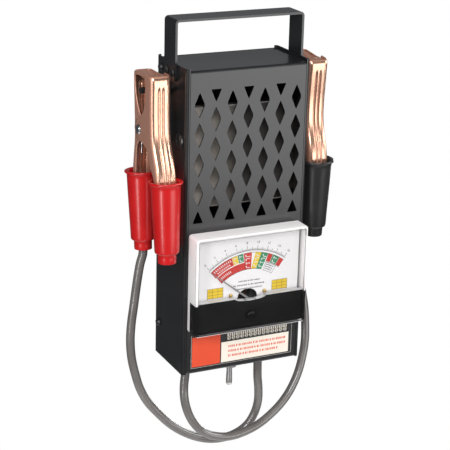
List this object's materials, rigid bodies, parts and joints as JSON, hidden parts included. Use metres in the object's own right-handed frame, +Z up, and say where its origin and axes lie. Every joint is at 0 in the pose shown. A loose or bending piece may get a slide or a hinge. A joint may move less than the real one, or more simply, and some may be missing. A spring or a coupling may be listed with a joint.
{
  "type": "battery tester",
  "caption": "Hand-held battery load tester: vented black steel case with a strap handle, moving-coil meter, test toggle and two copper clamps on grey cables.",
  "frame": {"origin": "middle of the underside of the handle bar", "axes": "+X to the object's right as the meter is read, +Y from the meter face towards the flat back, +Z up along the case"},
  "size_m": [0.1785, 0.0913, 0.3838],
  "materials": {
    "black_paint": "semi-gloss black enamel",
    "shield_steel": "dull galvanised steel",
    "ribbon_alloy": "matt resistance alloy",
    "ceramic": "unglazed ceramic",
    "clear_cover": "clear moulded acrylic",
    "black_plastic": "moulded black plastic",
    "dial_white": "printed white dial",
    "brass": "plain brass",
    "zinc": "bright zinc plate",
    "magnet_iron": "ground iron",
    "copper_wire": "enamelled copper wire",
    "label_print": "printed label with a red square",
    "chrome": "polished chrome plate",
    "rubber": "matt black rubber",
    "cable_grey": "matt grey cable jacket",
    "copper_plate": "bright copper-plated steel",
    "red_boot": "glossy red vinyl",
    "dark_boot": "glossy charcoal vinyl"
  },
  "bodies": {
    "case": {"black_clamp_rear_boot": "dark_boot", "black_clamp_rear_jaw": "copper_plate", "black_clamp_rivet": "zinc", "black_clamp_spring": "zinc", "cable_black": "cable_grey", "cable_red": "cable_grey", "case_screw_left_lower": "black_paint", "case_screw_left_upper": "black_paint", "case_screw_right_lower": "black_paint", "case_screw_right_upper": "black_paint", "dial_screw_left": "brass", "dial_screw_right": "brass", "front_cover": "black_paint", "front_label": "label_print", "grommet_left": "rubber", "grommet_right": "rubber", "handle_rivet_left_front": "black_paint", "handle_rivet_left_rear": "black_paint", "handle_rivet_right_front": "black_paint", "handle_rivet_right_rear": "black_paint", "handle_strap": "black_paint", "heat_shield": "shield_steel", "inner_lead_black": "cable_grey", "inner_lead_red": "cable_grey", "insulator_lower": "ceramic", "insulator_screw_lower": "black_paint", "insulator_screw_upper": "black_paint", "insulator_upper": "ceramic", "load_link": "cable_grey", "load_ribbon": "ribbon_alloy", "meter_band": "black_plastic", "meter_base": "black_plastic", "meter_cover": "clear_cover", "meter_dial": "dial_white", "meter_magnet": "magnet_iron", "meter_terminal_left": "brass", "meter_terminal_right": "brass", "rear_housing": "black_paint", "red_clamp_rear_boot": "red_boot", "red_clamp_rear_jaw": "copper_plate", "red_clamp_rivet": "zinc", "red_clamp_spring": "zinc", "shield_screw_left": "black_paint", "shield_screw_right": "black_paint", "stow_peg_left": "zinc", "stow_peg_right": "zinc", "switch_body": "black_plastic", "switch_bushing": "chrome", "switch_nut": "chrome", "switch_terminal_left": "brass", "switch_terminal_right": "brass"},
    "toggle": {"toggle_lever": "chrome"},
    "needle": {"meter_needle": "black_plastic", "meter_coil": "copper_wire"},
    "zero_screw": {"zero_adjust_screw": "black_plastic"},
    "red_front_half": {"red_clamp_front_jaw": "copper_plate", "red_clamp_front_boot": "red_boot"},
    "black_front_half": {"black_clamp_front_jaw": "copper_plate", "black_clamp_front_boot": "dark_boot"}
  },
  "joints": [
    {"name": "test_toggle", "type": "hinge", "parent": "case", "child": "toggle", "pos_m": [0, -0.0062, -0.2941], "axis": [0, 1, 0], "range_deg": [-14, 14], "stiffness_Nm_per_rad": 0.1},
    {"name": "needle_swing", "type": "hinge", "parent": "case", "child": "needle", "pos_m": [0, -0.0368, -0.2261], "axis": [0, 1, 0], "range_deg": [0, 102], "stiffness_Nm_per_rad": 0.002},
    {"name": "zero_adjust", "type": "hinge", "parent": "case", "child": "zero_screw", "pos_m": [0, -0.0442, -0.2384], "axis": [0, 1, 0], "range_deg": [-30, 30]},
    {"name": "red_clamp_squeeze", "type": "hinge", "parent": "case", "child": "red_front_half", "pos_m": [-0.07, 0.008, -0.0873], "axis": [1, 0, 0], "range_deg": [0, 18], "stiffness_Nm_per_rad": 5, "springref_deg": -0.23},
    {"name": "black_clamp_squeeze", "type": "hinge", "parent": "case", "child": "black_front_half", "pos_m": [0.07, 0.0135, -0.0827], "axis": [1, 0, 0], "range_deg": [0, 18], "stiffness_Nm_per_rad": 5, "springref_deg": -0.23}
  ]
}
